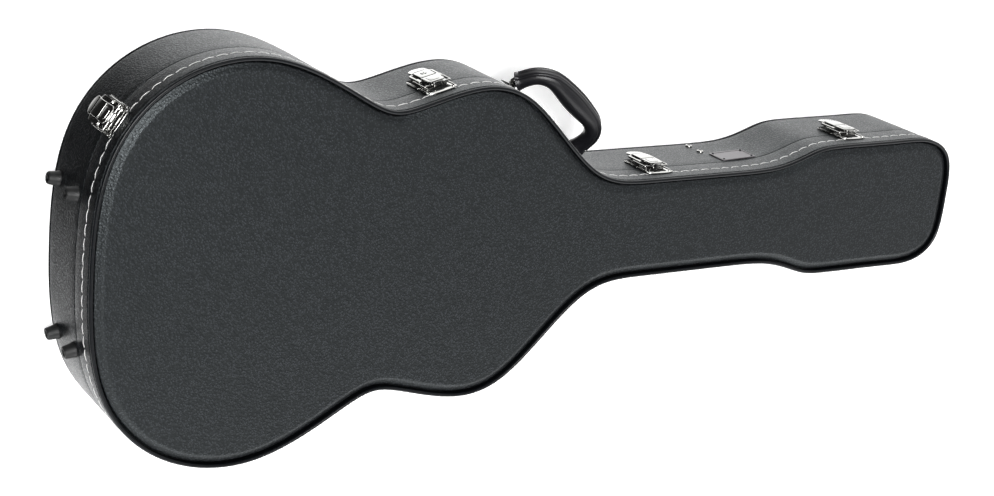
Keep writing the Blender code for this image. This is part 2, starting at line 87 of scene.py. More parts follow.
class Nodes:
    """Small helper that adds shader nodes to one material and links them."""

    def __init__(self, name, roughness, metallic=0.0):
        self.material = bpy.data.materials.new(name)
        self.material.use_nodes = True
        self.tree = self.material.node_tree
        self.shader = self.tree.nodes["Principled BSDF"]
        self.shader.inputs["Roughness"].default_value = roughness
        self.shader.inputs["Metallic"].default_value = metallic
        self.place = self.tree.nodes.new("ShaderNodeTexCoord").outputs["Object"]

    def link(self, start, end):
        self.tree.links.new(start, end)

    def noise(self, scale, detail=3.0, stretch=None):
        node = self.tree.nodes.new("ShaderNodeTexNoise")
        node.inputs["Scale"].default_value = scale
        node.inputs["Detail"].default_value = detail
        self.link(self.stretched(stretch), node.inputs["Vector"])
        return node.outputs["Fac"]

    def cells(self, scale, warp):
        node = self.tree.nodes.new("ShaderNodeTexVoronoi")
        node.feature = "SMOOTH_F1"
        node.inputs["Scale"].default_value = scale
        node.inputs["Smoothness"].default_value = 0.35
        self.link(self.warped(warp), node.inputs["Vector"])
        return node.outputs["Distance"]

    def warped(self, amount):
        """Object coordinates shifted by a little noise, so that cells aren't regular."""
        noise = self.tree.nodes.new("ShaderNodeTexNoise")
        noise.inputs["Scale"].default_value = 140
        self.link(self.place, noise.inputs["Vector"])
        shift = self.tree.nodes.new("ShaderNodeVectorMath")
        shift.operation = "MULTIPLY_ADD"
        shift.inputs[1].default_value = (amount, amount, amount)
        self.link(noise.outputs["Color"], shift.inputs[0])
        self.link(self.place, shift.inputs[2])
        return shift.outputs["Vector"]

    def stretched(self, stretch):
        if stretch is None:
            return self.place
        node = self.tree.nodes.new("ShaderNodeMapping")
        node.inputs["Scale"].default_value = stretch
        self.link(self.place, node.inputs["Vector"])
        return node.outputs["Vector"]

    def ramp(self, value, stops):
        """Maps a value to the colours given as (position, colour or number) stops."""
        node = self.tree.nodes.new("ShaderNodeValToRGB")
        first, last = stops[0], stops[-1]
        for element, (position, color) in zip(node.color_ramp.elements, (first, last)):
            element.position = position
            element.color = shade(color)
        for position, color in stops[1:-1]:
            element = node.color_ramp.elements.new(position)
            element.color = shade(color)
        self.link(value, node.inputs["Fac"])
        return node.outputs["Color"]

    def mix(self, factor, first, second, blend="MIX"):
        node = self.tree.nodes.new("ShaderNodeMix")
        node.data_type = "RGBA"
        node.blend_type = blend
        if isinstance(factor, float):
            node.inputs["Factor"].default_value = factor
        else:
            self.link(factor, node.inputs["Factor"])
        for socket, source in ((node.inputs["A"], first), (node.inputs["B"], second)):
            if isinstance(source, tuple):
                socket.default_value = source
            else:
                self.link(source, socket)
        return node.outputs["Result"]

    def bump(self, height, distance, strength=1.0, below=None):
        node = self.tree.nodes.new("ShaderNodeBump")
        node.inputs["Distance"].default_value = distance
        node.inputs["Strength"].default_value = strength
        self.link(height, node.inputs["Height"])
        if below is not None:
            self.link(below, node.inputs["Normal"])
        return node.outputs["Normal"]

    def set(self, name, value):
        if isinstance(value, (int, float, tuple)):
            self.shader.inputs[name].default_value = value
        else:
            self.link(value, self.shader.inputs[name])


def shade(color):
    """Four-part colour from a grey number or a colour."""
    if isinstance(color, (int, float)):
        return (color, color, color, 1)
    return (*color, 1)


def vinyl_material():
    """Black pebble-grain vinyl: rounded grains, lighter on their worn tops, with painted shade darkening the
    valleys between them, dulled in patches by handling.
    """
    m = Nodes("pebbled_vinyl", 0.44)
    grain = m.cells(470, warp=0.0010)
    fine = m.noise(2400, 2.0)
    patch = m.noise(9, 4.0)
    # Colour follows the grain: lighter worn tops, and near-black painted shade in the valleys between grains.
    color = m.ramp(grain, [(0.12, (0.0290, 0.0315, 0.0365)), (0.46, (0.0004, 0.0006, 0.0010))])
    m.set("Base Color", m.mix(0.5, color, m.ramp(patch, [(0.35, 0.42), (0.70, 0.60)]), "OVERLAY"))
    m.set("Roughness", m.mix(0.6, m.ramp(m.noise(60, 4.0), [(0.30, 0.30), (0.75, 0.42)]),
                             m.ramp(grain, [(0.10, 0.26), (0.50, 0.54)])))
    m.set("Specular IOR Level", 0.5)
    m.set("Specular Tint", (0.88, 0.97, 1.0, 1.0))
    m.set("Normal", m.bump(grain, -0.00032, 1.0, m.bump(fine, 0.00005, 0.6)))
    return m.material


def piping_material():
    """Smooth black welt with fine cross wrinkles."""
    m = Nodes("smooth_piping", 0.32)
    wrinkles = m.noise(260, 3.0)
    m.set("Base Color", m.ramp(wrinkles, [(0.3, (0.003, 0.004, 0.005)), (0.8, (0.006, 0.007, 0.009))]))
    m.set("Specular IOR Level", 0.32)
    m.set("Normal", m.bump(m.noise(900, 3.0), 0.00008, 0.7))
    return m.material


def plush_material():
    """Short black pile: patches brushed both ways, soft at grazing angles."""
    m = Nodes("plush", 0.95)
    pile = m.noise(1500, 4.0)
    brushed = m.noise(26, 5.0, (1.0, 0.55, 1.0))
    color = m.ramp(brushed, [(0.35, (0.012, 0.012, 0.014)), (0.62, (0.026, 0.026, 0.030))])
    m.set("Base Color", m.mix(pile, color, (0.006, 0.006, 0.007, 1)))
    m.set("Sheen Weight", 0.55)
    m.set("Sheen Roughness", 0.45)
    m.set("Normal", m.bump(pile, 0.0007, 0.9, m.bump(brushed, 0.0012, 0.5)))
    return m.material


def chrome_material():
    """Plated steel: bright, with faint polishing streaks and slightly duller patches."""
    m = Nodes("chrome_plate", 0.12, 1.0)
    m.set("Base Color", m.ramp(m.noise(45, 3.0), [(0.3, (0.43, 0.43, 0.415)), (0.8, (0.50, 0.50, 0.485))]))
    m.set("Roughness", m.ramp(m.noise(170, 4.0), [(0.35, 0.08), (0.80, 0.19)]))
    streaks = m.noise(900, 2.0, (0.15, 1.0, 1.0))
    m.set("Normal", m.bump(streaks, 0.00002, 0.5, m.bump(m.noise(120, 2.0), 0.00012, 0.4)))
    return m.material


def moulding_material():
    """Moulded black grip with a fine leather-like grain."""
    m = Nodes("moulded_grip", 0.40)
    grain = m.cells(900, warp=0.0010)
    m.set("Base Color", m.ramp(grain, [(0.1, (0.012, 0.0115, 0.0145)), (0.7, (0.006, 0.006, 0.0075))]))
    m.set("Roughness", m.ramp(m.noise(80, 3.0), [(0.3, 0.32), (0.8, 0.42)]))
    m.set("Normal", m.bump(grain, -0.00010, 0.6))
    return m.material


def rubber_material():
    """Matt black rubber with mould texture and dusty patches."""
    m = Nodes("rubber", 0.55)
    dust = m.noise(190, 5.0)
    m.set("Base Color", m.ramp(dust, [(0.45, (0.005, 0.0055, 0.006)), (0.80, (0.013, 0.0135, 0.014))]))
    m.set("Roughness", m.ramp(dust, [(0.3, 0.46), (0.8, 0.66)]))
    m.set("Normal", m.bump(m.noise(2200, 3.0), 0.00008, 0.7))
    return m.material


def thread_material():
    """White waxed thread with its twist."""
    m = Nodes("waxed_thread", 0.55)
    twist = m.noise(1400, 2.0)
    m.set("Base Color", m.ramp(twist, [(0.3, (0.50, 0.50, 0.49)), (0.7, (0.80, 0.80, 0.79))]))
    m.set("Normal", m.bump(twist, 0.0002, 0.7))
    return m.material


def plate_material():
    """Dark badge blank with brushed lines."""
    m = Nodes("brushed_plate", 0.34, 0.6)
    lines = m.noise(1300, 3.0, (0.04, 1.0, 1.0))
    m.set("Base Color", m.ramp(lines, [(0.3, (0.085, 0.080, 0.085)), (0.75, (0.16, 0.15, 0.16))]))
    m.set("Roughness", m.ramp(lines, [(0.3, 0.30), (0.8, 0.45)]))
    m.set("Normal", m.bump(lines, 0.00004, 0.6))
    return m.material


def painted_shade_material():
    """Flat near-black painted shade for the insides of slots, holes and recesses, where shade falls."""
    m = Nodes("recess", 0.8)
    m.set("Base Color", m.ramp(m.noise(700), [(0.3, 0.004), (0.8, 0.012)]))
    return m.material


def floor_material():
    m = Nodes("pale_floor", 0.9)
    m.set("Base Color", m.ramp(m.noise(3, 2.0), [(0.3, 0.86), (0.8, 0.88)]))
    m.set("Specular IOR Level", 0.1)
    m.set("Emission Color", (1.0, 1.0, 1.0, 1.0))
    m.set("Emission Strength", STUDIO["floor"])
    return m.material


VINYL = vinyl_material()
PIPING = piping_material()
PLUSH = plush_material()
CHROME = chrome_material()
MOULDING = moulding_material()
RUBBER = rubber_material()
THREAD = thread_material()
PLATE = plate_material()
PAINTED_SHADE = painted_shade_material()


# Plan of the case -------------------------------------------------------------

def spline_point(a, b, c, d, t):
    """Point of a uniform cubic B-spline at fraction t of the span between b and c."""
    return (a * (1 - t) ** 3 + b * (3 * t**3 - 6 * t * t + 4)
            + c * (-3 * t**3 + 3 * t * t + 3 * t + 1) + d * t**3) / 6


def stations(steps=STEPS_PER_SPAN):
    """Place and outward normal of points right round the case's edge."""
    points = [Vector((x - LENGTH / 2, y)) for x, y in HALF_EDGE]
    points += [Vector((p.x, -p.y)) for p in reversed(points[1:-1])]
    count = len(points)
    found = []
    for i in range(count):
        a, b, c, d = (points[(i + k) % count] for k in range(-1, 3))
        for k in range(steps):
            t = k / steps
            place = spline_point(a, b, c, d, t)
            along = (-a * (1 - t) ** 2 + b * (3 * t * t - 4 * t)
                     + c * (-3 * t * t + 2 * t + 1) + d * t * t) / 2
            along.normalize()
            found.append((place, Vector((-along.y, along.x))))
    return found


EDGE = stations()
FINE_EDGE = stations(60)


def edge_length(edge):
    """Distance round the edge up to each station, and the whole length last."""
    total, lengths = 0.0, [0.0]
    for (here, _), (there, _) in zip(edge, edge[1:] + edge[:1]):
        total += (there - here).length
        lengths.append(total)
    return lengths


def nearest(x, y):
    """Station of the edge nearest to a place."""
    return min(FINE_EDGE, key=lambda s: (s[0] - Vector((x, y))).length)


def wall_place(node, out=0.0):
    """Matrix on the wall nearest to a CAD node's middle, a distance out from the wall."""
    low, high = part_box(node)
    middle = (low + high) / 2
    place, normal = nearest(middle.x, middle.y)
    return upright_frame(place + normal * out, normal, middle.z)


def across(side, inner, outer):
    """Lowest and highest X of a detail on one side of a middle line."""
    return sorted((side * inner, side * outer))


# Mesh tools -------------------------------------------------------------------

def mesh_of(work, name, sharp=40):
    """Mesh of a bmesh, shaded smooth but for its sharp edges."""
    bmesh.ops.recalc_face_normals(work, faces=work.faces)
    mesh = bpy.data.meshes.new(name)
    work.to_mesh(mesh)
    work.free()
    mesh.shade_smooth()
    mesh.set_sharp_from_angle(angle=math.radians(sharp))
    return mesh


def sweep(name, profile, sharp=40, wave=None):
    """Closed band that follows the case's edge; profile is a closed loop of (inset, height)."""
    lengths = edge_length(EDGE)
    work = bmesh.new()
    loops = []
    for (place, normal), distance in zip(EDGE, lengths):
        loop = []
        for inset, height in profile:
            shift = wave(inset, height, distance, lengths[-1]) if wave else 0.0
            spot = place - normal * (inset + shift)
            loop.append(work.verts.new((spot.x, spot.y, height)))
        loops.append(loop)
    count = len(profile)
    for here, there in zip(loops, loops[1:] + loops[:1]):
        for k in range(count):
            work.faces.new((here[k], here[(k + 1) % count], there[(k + 1) % count], there[k]))
    return mesh_of(work, name, sharp)


def capped_sweep(name, profile, sharp=40):
    """Plate of the case's plan: profile runs from the underside's rim out, up and in, capped at both ends."""
    work = bmesh.new()
    loops = []
    for place, normal in EDGE:
        loop = []
        for inset, height in profile:
            spot = place - normal * inset
            loop.append(work.verts.new((spot.x, spot.y, height)))
        loops.append(loop)
    for here, there in zip(loops, loops[1:] + loops[:1]):
        for k in range(len(profile) - 1):
            work.faces.new((here[k], here[k + 1], there[k + 1], there[k]))
    work.faces.new([loop[0] for loop in loops])
    work.faces.new([loop[-1] for loop in loops])
    return mesh_of(work, name, sharp)


def arc(center, radius, start, end, count):
    """Points on an arc in a plane, angles in degrees."""
    angles = [math.radians(start + (end - start) * k / count) for k in range(count + 1)]
    return [(center[0] + radius * math.cos(a), center[1] + radius * math.sin(a)) for a in angles]


def plate_mesh(name, outline_points, back, front, bevel=0.0003, segments=2):
    """Pressed plate: outline drawn along X and Z, thick from back to front along Y, edges rounded."""
    work = bmesh.new()
    face = work.faces.new([work.verts.new((x, back, z)) for x, z in outline_points])
    grown = bmesh.ops.extrude_face_region(work, geom=[face])
    moved = [v for v in grown["geom"] if isinstance(v, bmesh.types.BMVert)]
    bmesh.ops.translate(work, verts=moved, vec=(0, front - back, 0))
    bmesh.ops.recalc_face_normals(work, faces=work.faces)
    if bevel:
        rims = [e for e in work.edges if e.is_manifold and e.calc_face_angle() > math.radians(60)]
        bmesh.ops.bevel(work, geom=rims, offset=bevel, segments=segments, profile=0.5,
                        affect="EDGES", clamp_overlap=True)
    return mesh_of(work, name)


def block_mesh(name, low, high, bevel=0.0003, segments=2):
    low, high = Vector(low), Vector(high)
    work = bmesh.new()
    size = Matrix.Diagonal((*(high - low), 1))
    bmesh.ops.create_cube(work, size=1, matrix=Matrix.Translation((low + high) / 2) @ size)
    if bevel:
        bmesh.ops.bevel(work, geom=list(work.edges), offset=bevel, segments=segments, profile=0.5,
                        affect="EDGES", clamp_overlap=True)
    return mesh_of(work, name)


def turned_mesh(name, profile, axis="Y", segments=32):
    """Closed turned solid; profile is (radius, distance along the axis) from centre to centre."""
    work = bmesh.new()
    rings = []
    for radius, height in profile:
        if radius < 1e-7:
            rings.append([work.verts.new((0, 0, height))])
            continue
        angles = [2 * math.pi * k / segments for k in range(segments)]
        rings.append([work.verts.new((radius * math.cos(a), radius * math.sin(a), height)) for a in angles])
    for low, high in zip(rings, rings[1:]):
        for k in range(segments):
            n = (k + 1) % segments
            corners = [low[k % len(low)], low[n % len(low)], high[n % len(high)], high[k % len(high)]]
            work.faces.new(list(dict.fromkeys(corners)))
    if axis == "Y":
        bmesh.ops.rotate(work, verts=work.verts, matrix=Matrix.Rotation(math.radians(-90), 3, "X"))
    if axis == "X":
        bmesh.ops.rotate(work, verts=work.verts, matrix=Matrix.Rotation(math.radians(90), 3, "Y"))
    return mesh_of(work, name, 35)


def rounded_path(corners, radius, count=6, closed=False):
    """Polyline with its corners replaced by arcs."""
    corners = [Vector(c) for c in corners]
    path = []
    last = len(corners) - 1
    for k, corner in enumerate(corners):
        if not closed and k in (0, last):
            path.append(corner)
            continue
        before = (corners[k - 1] - corner).normalized()
        after = (corners[(k + 1) % len(corners)] - corner).normalized()
        start, end = corner + before * radius, corner + after * radius
        for step in range(count + 1):
            t = step / count
            path.append(start * (1 - t) ** 2 + corner * 2 * t * (1 - t) + end * t * t)
    return path


def tube_mesh(name, path, radius, closed=False, sides=12):
    """Round wire along a path, with flat ends when it is open."""
    path = [Vector(p) for p in path]
    work = bmesh.new()
    rings = []
    normal = None
    for k, point in enumerate(path):
        ahead = path[(k + 1) % len(path)] if closed or k + 1 < len(path) else point
        behind = path[k - 1] if closed or k else point
        along = (ahead - behind).normalized()
        if normal is None:
            normal = along.orthogonal().normalized()
        normal = (normal - along * normal.dot(along)).normalized()
        side = along.cross(normal)
        angles = [2 * math.pi * s / sides for s in range(sides)]
        rings.append([work.verts.new(point + (normal * math.cos(a) + side * math.sin(a)) * radius)
                      for a in angles])
    pairs = list(zip(rings, rings[1:]))
    if closed:
        twist = min(range(sides), key=lambda s: (rings[0][s].co - rings[-1][0].co).length)
        pairs.append((rings[-1], rings[0][twist:] + rings[0][:twist]))
    for low, high in pairs:
        for s in range(sides):
            n = (s + 1) % sides
            work.faces.new((low[s], low[n], high[n], high[s]))
    if not closed:
        work.faces.new(rings[0])
        work.faces.new(rings[-1])
    return mesh_of(work, name)


def joined(name, meshes, sharp=40):
    """One mesh of several, each given as a mesh or as (mesh, matrix)."""
    work = bmesh.new()
    for item in meshes:
        mesh, matrix = item if isinstance(item, tuple) else (item, Matrix())
        part = bmesh.new()
        part.from_mesh(mesh)
        part.transform(matrix)
        moved = bpy.data.meshes.new(name)
        part.to_mesh(moved)
        part.free()
        work.from_mesh(moved)
        bpy.data.meshes.remove(moved)
    return mesh_of(work, name, sharp)


def cut_mesh(mesh, cutters):
    """The mesh with other closed meshes cut out of it."""
    target = bpy.data.objects.new("target", mesh)
    bpy.context.scene.collection.objects.link(target)
    helpers = []
    for cutter in cutters:
        helper = bpy.data.objects.new("cutter", cutter)
        bpy.context.scene.collection.objects.link(helper)
        modifier = target.modifiers.new("cut", "BOOLEAN")
        modifier.operation = "DIFFERENCE"
        modifier.object = helper
        helpers.append(helper)
    bpy.context.view_layer.update()
    view = bpy.context.evaluated_depsgraph_get()
    result = bpy.data.meshes.new_from_object(target.evaluated_get(view))
    for helper in helpers + [target]:
        bpy.data.objects.remove(helper)
    result.shade_smooth()
    result.set_sharp_from_angle(angle=math.radians(40))
    return result


def show(name, mesh, material, body, nodes=(), matrix=Matrix()):
    """Adds a finished piece that rides on a body and stands for the given CAD nodes."""
    piece = bpy.data.objects.new(name, mesh.copy())
    bpy.context.scene.collection.objects.link(piece)
    piece.data.materials.clear()
    piece.data.materials.append(material)
    piece.matrix_world = matrix
    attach(piece, body)
    if nodes:
        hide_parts(*nodes)
    return piece


def upright_frame(place, normal, height=0.0):
    """Matrix at a place: X along the wall, Y outwards, Z up."""
    normal = Vector((normal[0], normal[1])).normalized()
    matrix = Matrix(((normal.y, normal.x, 0), (-normal.x, normal.y, 0), (0, 0, 1))).to_4x4()
    matrix.translation = (place[0], place[1], height)
    return matrix


def joint_frame(name):
    """Matrix at a joint whose X axis is the joint's, Y outwards from the case and Z up."""
    joint = JOINTS[name]
    along = Vector(joint["axis"]).normalized()
    return upright_frame(joint["pos_m"], (-along.y, along.x), joint["pos_m"][2])


# Shell ------------------------------------------------------------------------

def wall_profile(seam, outer, direction):
    """Closed wall section from the seam to the outer edge, which rolls in under the piping."""
    r = SEAM_ROUND
    roll = 0.0016
    rows = []
    for inset, height in arc((r, 0), r, 270, 180, 4):
        rows.append((inset, seam + direction * (r + height)))
    rows += [(0.0, seam + direction * 0.012), (0.0, outer - direction * 0.012)]
    for inset, height in arc((roll, 0), roll, 180, 90, 5):
        rows.append((inset, outer - direction * (roll - height)))
    rows += [(0.0026, outer - direction * 0.0012), (0.0032, outer - direction * 0.006)]
    rows += [(WALL, outer - direction * 0.007)]
    for inset, height in arc((WALL - r, 0), r, 0, -90, 4):
        rows.append((inset, seam + direction * (r + height)))
    return rows


def panel_profile(face, direction, inner):
    """Panel section from its inner face out to the groove, up the cushioned chamfer and on to the flat."""
    low = face - direction * GROOVE_DEPTH
    top = face - direction * PANEL_SUNK
    start = top - direction * CHAMFER_DROP
    rows = [(0.016, inner), (PANEL_INSET + 0.0006, inner), (PANEL_INSET, inner + direction * 0.0006),
            (PANEL_INSET, low)]
    for t in (0.0, 0.25, 0.5, 0.75, 1.0):
        height = 0.0010 * math.sin(t * math.pi / 2) - 0.0010
        rows.append((PANEL_INSET + 0.0014 * t, start + direction * height))
    slope_end = CHAMFER_INSET - 0.0012
    for t in (0.35, 0.7, 1.0):
        inset = PANEL_INSET + 0.0014 + (slope_end - PANEL_INSET - 0.0014) * t
        rows.append((inset, start + direction * (CHAMFER_DROP - 0.00035) * t))
    rows += [(CHAMFER_INSET - 0.0004, top - direction * 0.00012)]
    rows += [(CHAMFER_INSET + 0.0006, top - direction * 0.00002)]
    rows += [(CHAMFER_INSET + 0.002, top), (0.022, top)]
    return rows


def add_shell():
    body_top = BODY_LOW - 0.0052
    body_wall = sweep("body_skin", wall_profile(BODY_HIGH, body_top, -1))
    show("body_skin", body_wall, VINYL, "case_body", ["body_wall"])
    lid_outer = DEPTH - 0.0047
    lid_wall = sweep("lid_skin", wall_profile(LID_LOW, lid_outer, 1))
    show("lid_skin", lid_wall, VINYL, "lid", ["lid_wall"])

    for name, body, center, node in (("back_piping", "case_body", PIPING_RADIUS, "back_rim"),
                                     ("lid_piping", "lid", DEPTH - PIPING_RADIUS, "lid_rim")):
        section = arc((PIPING_INSET, center), PIPING_RADIUS, 0, 345, 23)
        show(name, sweep(name, section), PIPING, body, [node])
        welt = [(0.0024, center - 0.003), (0.0032, center - 0.003), (0.0032, center + 0.003),
                (0.0024, center + 0.003)]
        inner = -0.0035 if body == "lid" else 0.0035
        welt = [(inset, height + inner) for inset, height in welt]
        show(f"{name}_welt", sweep(name, welt), PIPING, body)

    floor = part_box("back_panel")[1].z
    back = capped_sweep("back_skin", panel_profile(0.0, -1, floor))
    show("back_skin", back, VINYL, "case_body", ["back_panel"])
    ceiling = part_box("lid_panel")[0].z
    lid_panel = capped_sweep("lid_panel_skin", panel_profile(DEPTH, 1, ceiling))
    show("lid_panel_skin", lid_panel, VINYL, "lid", ["lid_panel"])


def add_stitches():
    """Row of lock stitches round the lid wall, each a short raised bow of thread, with a dark disc of painted
    shade in its needle hole.
    """
    lengths = edge_length(FINE_EDGE)
    whole = lengths[-1]
    count = round(whole / STITCH_PITCH)
    pitch = whole / count
    radius, sunk, proud = 0.0007, -0.0004, 0.00003
    # Dark disc standing for the inside of a needle hole: painted shade.
    dot = turned_mesh("hole", [(0, sunk), (radius, sunk), (radius, proud), (0, proud)], segments=8)
    threads, holes = [], []
    index = 0

    def at(distance):
        nonlocal index
        distance %= whole
        if distance < lengths[index]:
            index = 0
        while lengths[index + 1] < distance:
            index += 1
        return FINE_EDGE[index]

    for number in range(count):
        path = []
        for step in range(9):
            t = step / 8
            place, normal = at(number * pitch + STITCH_LENGTH * t)
            bow = math.sin(math.pi * t)
            spot = place + normal * (THREAD_RADIUS * (1.1 * bow**0.5 - 0.9))
            path.append((spot.x, spot.y, STITCH_HEIGHT - STITCH_RISE * bow))
        threads.append(tube_mesh("thread", path, THREAD_RADIUS, sides=8))
        place, normal = at(number * pitch + STITCH_LENGTH + (pitch - STITCH_LENGTH) / 2)
        holes.append((dot, upright_frame(place, normal, STITCH_HEIGHT + 0.0002)))
    show("lid_stitches", joined("lid_stitches", threads), THREAD, "lid")
    show("lid_needle_hole_shade", joined("lid_needle_hole_shade", holes), PAINTED_SHADE, "lid")


def add_lip():
    low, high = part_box("dust_lip")[0].z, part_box("dust_lip")[1].z
    inset = WALL + 0.0006
    profile = [(inset, low), (inset, high - 0.001)]
    profile += [(inset + 0.001 + dx, high - 0.001 + dz) for dx, dz in arc((0, 0), 0.001, 180, 0, 6)[1:-1]]
    profile += [(inset + 0.002, high - 0.001), (inset + 0.002, low)]
    show("lip_skin", sweep("lip_skin", profile), PIPING, "case_body", ["dust_lip"])


def add_linings():
    """Plush pads: soft edges, and shallow puckers where the cloth is tucked in."""
    def pucker(depth, top, low):
        def wave(inset, height, distance, whole):
            waves = round(whole / 0.055)
            middle = math.sin(math.pi * min(1, max(0, (height - low) / (top - low))))
            ripple = 0.5 + 0.5 * math.cos(2 * math.pi * waves * distance / whole)
            return -depth * middle * ripple if inset > WALL + 0.003 else 0.0
        return wave

    outer = WALL + 0.0006
    for name, body, node, thick in (("body_side_plush", "case_body", "body_side_pad", 0.005),
                                    ("lid_side_plush", "lid", "lid_side_pad", 0.003)):
        low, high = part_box(node)[0].z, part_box(node)[1].z
        inner = outer + thick
        rows = [(outer, low), (outer, high)]
        for t in (0.0, 0.08, 0.2, 0.4, 0.6, 0.8, 0.92, 1.0):
            swell = 0.0012 * (1 - abs(2 * t - 1) ** 3)
            rows.append((inner - 0.0014 + swell, high + (low - high) * t))
        pad = sweep(name, rows, 60, pucker(0.0006, high, low))
        show(name, pad, PLUSH, body, [node])

    for name, body, node, up in (("body_floor_plush", "case_body", "body_floor_pad", 1),
                                 ("lid_top_plush", "lid", "lid_top_pad", -1)):
        low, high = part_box(node)[0].z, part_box(node)[1].z
        start, end = (low, high) if up > 0 else (high, low)
        rows = [(0.020, start), (outer, start), (outer, end - up * 0.0035)]
        for t in (0.25, 0.5, 0.75, 1.0):
            angle = t * math.pi / 2
            rows.append((outer + 0.010 * (1 - math.cos(angle)), end - up * 0.0035 * (1 - math.sin(angle))))
        rows += [(outer + 0.02, end)]
        pad = capped_sweep(name, rows, 60)
        show(name, pad, PLUSH, body, [node])


def add_store():
    """Neck cradle and accessory compartment, covered in the same plush."""
    low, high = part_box("neck_cradle")
    half, length = high.y, high.x - low.x
    notch, notch_floor = 0.029, 0.045
    section = [(-half, low.z), (half, low.z), (half, high.z), (notch, high.z), (notch - 0.004, notch_floor),
               (-notch + 0.004, notch_floor), (-notch, high.z), (-half, high.z)]
    block = plate_mesh("cradle", section, 0, length, 0.0028, 4)
    turn = Matrix.Translation((high.x, 0, 0)) @ Matrix.Rotation(math.radians(90), 4, "Z")
    show("cradle_plush", block, PLUSH, "case_body", ["neck_cradle"], turn)

    low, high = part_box("store_end_wall")
    wall = block_mesh("store_end", low, high, 0.0018, 4)
    show("store_end_plush", wall, PLUSH, "case_body", ["store_end_wall"])
    low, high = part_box("store_lid")
    cover = block_mesh("store_cover", low, high, 0.0014, 4)
    show("store_cover_plush", cover, PLUSH, "store_cover", ["store_lid"])
    low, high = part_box("store_lid_tab")
    tab = block_mesh("store_tab", low, high, 0.0006, 3)
    show("store_pull_tab", tab, PIPING, "store_cover", ["store_lid_tab"])


# Latches ----------------------------------------------------------------------

# Heights are from the seam, and distances out are from the wall.
PIVOT_OUT = 0.0055
PIVOT_UP = -0.0045
BAIL_UP = -0.0125
LEDGE_UP = 0.0090
WIRE_RADIUS = 0.0011
LEVER_FACE = 0.0024
LEVER_SHOULDER = -0.0205
# Slot across the lever's thumb tab, in the tab's own axes, and the tab's place on the lever.
TAB_SLOT = (Vector((-0.0066, 0.0008, -0.0026)), Vector((0.0066, 0.0030, -0.0010)))
TAB_CURL = (Matrix.Translation((0, LEVER_FACE - 0.0009, LEVER_SHOULDER - 0.0006))
            @ Matrix.Rotation(math.radians(-6), 4, "X"))
COVER_HALF = 0.0094
COVER_LOW = -0.0056
COVER_GAP = 0.0012


def screw_mesh(radius=0.0022, cross=True):
    """Pan head with a cross recess, its base at Y = 0."""
    dome = turned_mesh("screw", [(0, -0.0006), (radius, -0.0006), (radius, 0.0002), (radius * 0.92, 0.0006),
                                 (radius * 0.66, 0.00105), (radius * 0.33, 0.0013), (0, 0.00135)])
    if not cross:
        return dome
    arm, thin = radius * 0.62, radius * 0.15
    cuts = [block_mesh("arm", (-arm, 0.0005, -thin), (arm, 0.003, thin), 0),
            block_mesh("arm", (-thin, 0.0005, -arm), (thin, 0.003, arm), 0)]
    return cut_mesh(dome, cuts)


def lever_mesh():
    """Pressed lever about its pivot: slotted flange, raised box, curled thumb tab and two cheeks."""
    half, low, face, box_top = 0.0138, 0.0012, LEVER_FACE, 0.0041
    top, shoulder, box_half = 0.0025, LEVER_SHOULDER, 0.0090
    notch, notch_floor = COVER_HALF + 0.0006, COVER_LOW - COVER_GAP - PIVOT_UP
    right = [(box_half, shoulder - 0.002), (half - 0.002, shoulder), (half, shoulder + 0.002), (half, top),
             (notch, top), (notch, notch_floor)]
    flange = plate_mesh("flange", [(-x, z) for x, z in right] + right[::-1], low, face, 0.0004, 2)
    slots = []
    for side in (-1, 1):
        x_low, x_high = across(side, 0.0100, 0.0117)
        slots.append(block_mesh("slot", (x_low, low - 0.001, -0.0180), (x_high, face + 0.001, -0.0060), 0))
    parts = [cut_mesh(flange, slots)]
    parts.append(block_mesh("box", (-box_half, face - 0.0008, shoulder + 0.0008),
                            (box_half, box_top, notch_floor - 0.0001), 0.0008, 3))
    tip = [(0.0098 * math.cos(math.radians(a)), -0.0055 - 0.0080 * math.sin(math.radians(a)))
           for a in range(0, 181, 10)]
    tab = plate_mesh("tab", [(-0.0098, 0), (0.0098, 0)] + tip, 0, 0.0017, 0.0006, 3)
    tab = cut_mesh(tab, [block_mesh("slot", TAB_SLOT[0], TAB_SLOT[1], 0)])
    parts.append((tab, TAB_CURL))
    rivet = turned_mesh("rivet", [(0, 0), (0.0016, 0), (0.0016, 0.0003), (0.001, 0.0006), (0, 0.0007)],
                        "X", 20)
    cheek_front = face - 0.0002
    for side in (-1, 1):
        x_low, x_high = across(side, 0.0124, half)
        for back, bottom, top in ((-0.0025, -0.0145, 0.0022), (0.0002, -0.0200, -0.0140)):
            parts.append(block_mesh("cheek", (x_low, back, bottom), (x_high, cheek_front, top), 0.0004, 2))
        outside = Matrix.Translation((side * (half - 0.0002), 0, 0))
        parts.append((rivet, outside @ Matrix.Diagonal((side, 1, 1, 1))))
    return joined("latch_lever", parts)


